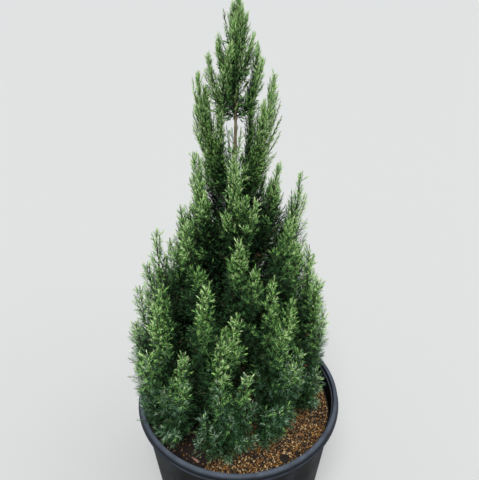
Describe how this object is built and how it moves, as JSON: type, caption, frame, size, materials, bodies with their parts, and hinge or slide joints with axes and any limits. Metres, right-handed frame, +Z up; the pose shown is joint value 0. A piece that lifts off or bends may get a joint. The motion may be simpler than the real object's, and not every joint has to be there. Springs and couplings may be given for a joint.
{
  "type": "potted conical juniper",
  "caption": "Young conical juniper of upright feathery plumes round a slim trunk, standing in a black nursery pot filled with bark mulch.",
  "frame": {"origin": "centre of the pot's flat underside, on the ground", "axes": "+Z straight up the trunk, -Y towards the side that the picture shows"},
  "size_m": [0.3737, 0.36, 0.9468],
  "materials": {
    "pot": "semi-matt black moulded plastic, lightly scuffed",
    "soil": "loose bark mulch over dark potting mix",
    "bark": "thin flaking red-brown bark",
    "foliage": "short green needles, brighter at the shoot tips"
  },
  "bodies": {
    "root": {"pot": "pot", "soil": "soil", "trunk": "bark", "low_bough_01": "bark", "low_bough_02": "bark", "low_bough_03": "bark", "low_bough_04": "bark", "low_bough_05": "bark", "low_bough_06": "bark", "low_bough_07": "bark", "low_bough_08": "bark", "low_bough_09": "bark", "middle_bough_01": "bark", "middle_bough_02": "bark", "middle_bough_03": "bark", "middle_bough_04": "bark", "middle_bough_05": "bark", "middle_bough_06": "bark", "middle_bough_07": "bark", "upper_bough_01": "bark", "upper_bough_02": "bark", "upper_bough_03": "bark", "upper_bough_04": "bark", "upper_bough_05": "bark", "upper_bough_06": "bark", "upper_bough_07": "bark", "low_plume_01": "foliage", "low_plume_02": "foliage", "low_plume_03": "foliage", "low_plume_04": "foliage", "low_plume_05": "foliage", "low_plume_06": "foliage", "low_plume_07": "foliage", "low_plume_08": "foliage", "low_plume_09": "foliage", "middle_plume_01": "foliage", "middle_plume_02": "foliage", "middle_plume_03": "foliage", "middle_plume_04": "foliage", "middle_plume_05": "foliage", "middle_plume_06": "foliage", "middle_plume_07": "foliage", "upper_plume_01": "foliage", "upper_plume_02": "foliage", "upper_plume_03": "foliage", "upper_plume_04": "foliage", "upper_plume_05": "foliage", "upper_plume_06": "foliage", "upper_plume_07": "foliage", "high_plume_01": "foliage", "high_plume_02": "foliage", "high_plume_03": "foliage", "high_plume_04": "foliage", "high_plume_05": "foliage", "side_plume_01": "foliage", "side_plume_02": "foliage", "crest_plume_01": "foliage", "crest_plume_02": "foliage", "crest_plume_03": "foliage", "leader_plume": "foliage"}
  },
  "joints": []
}
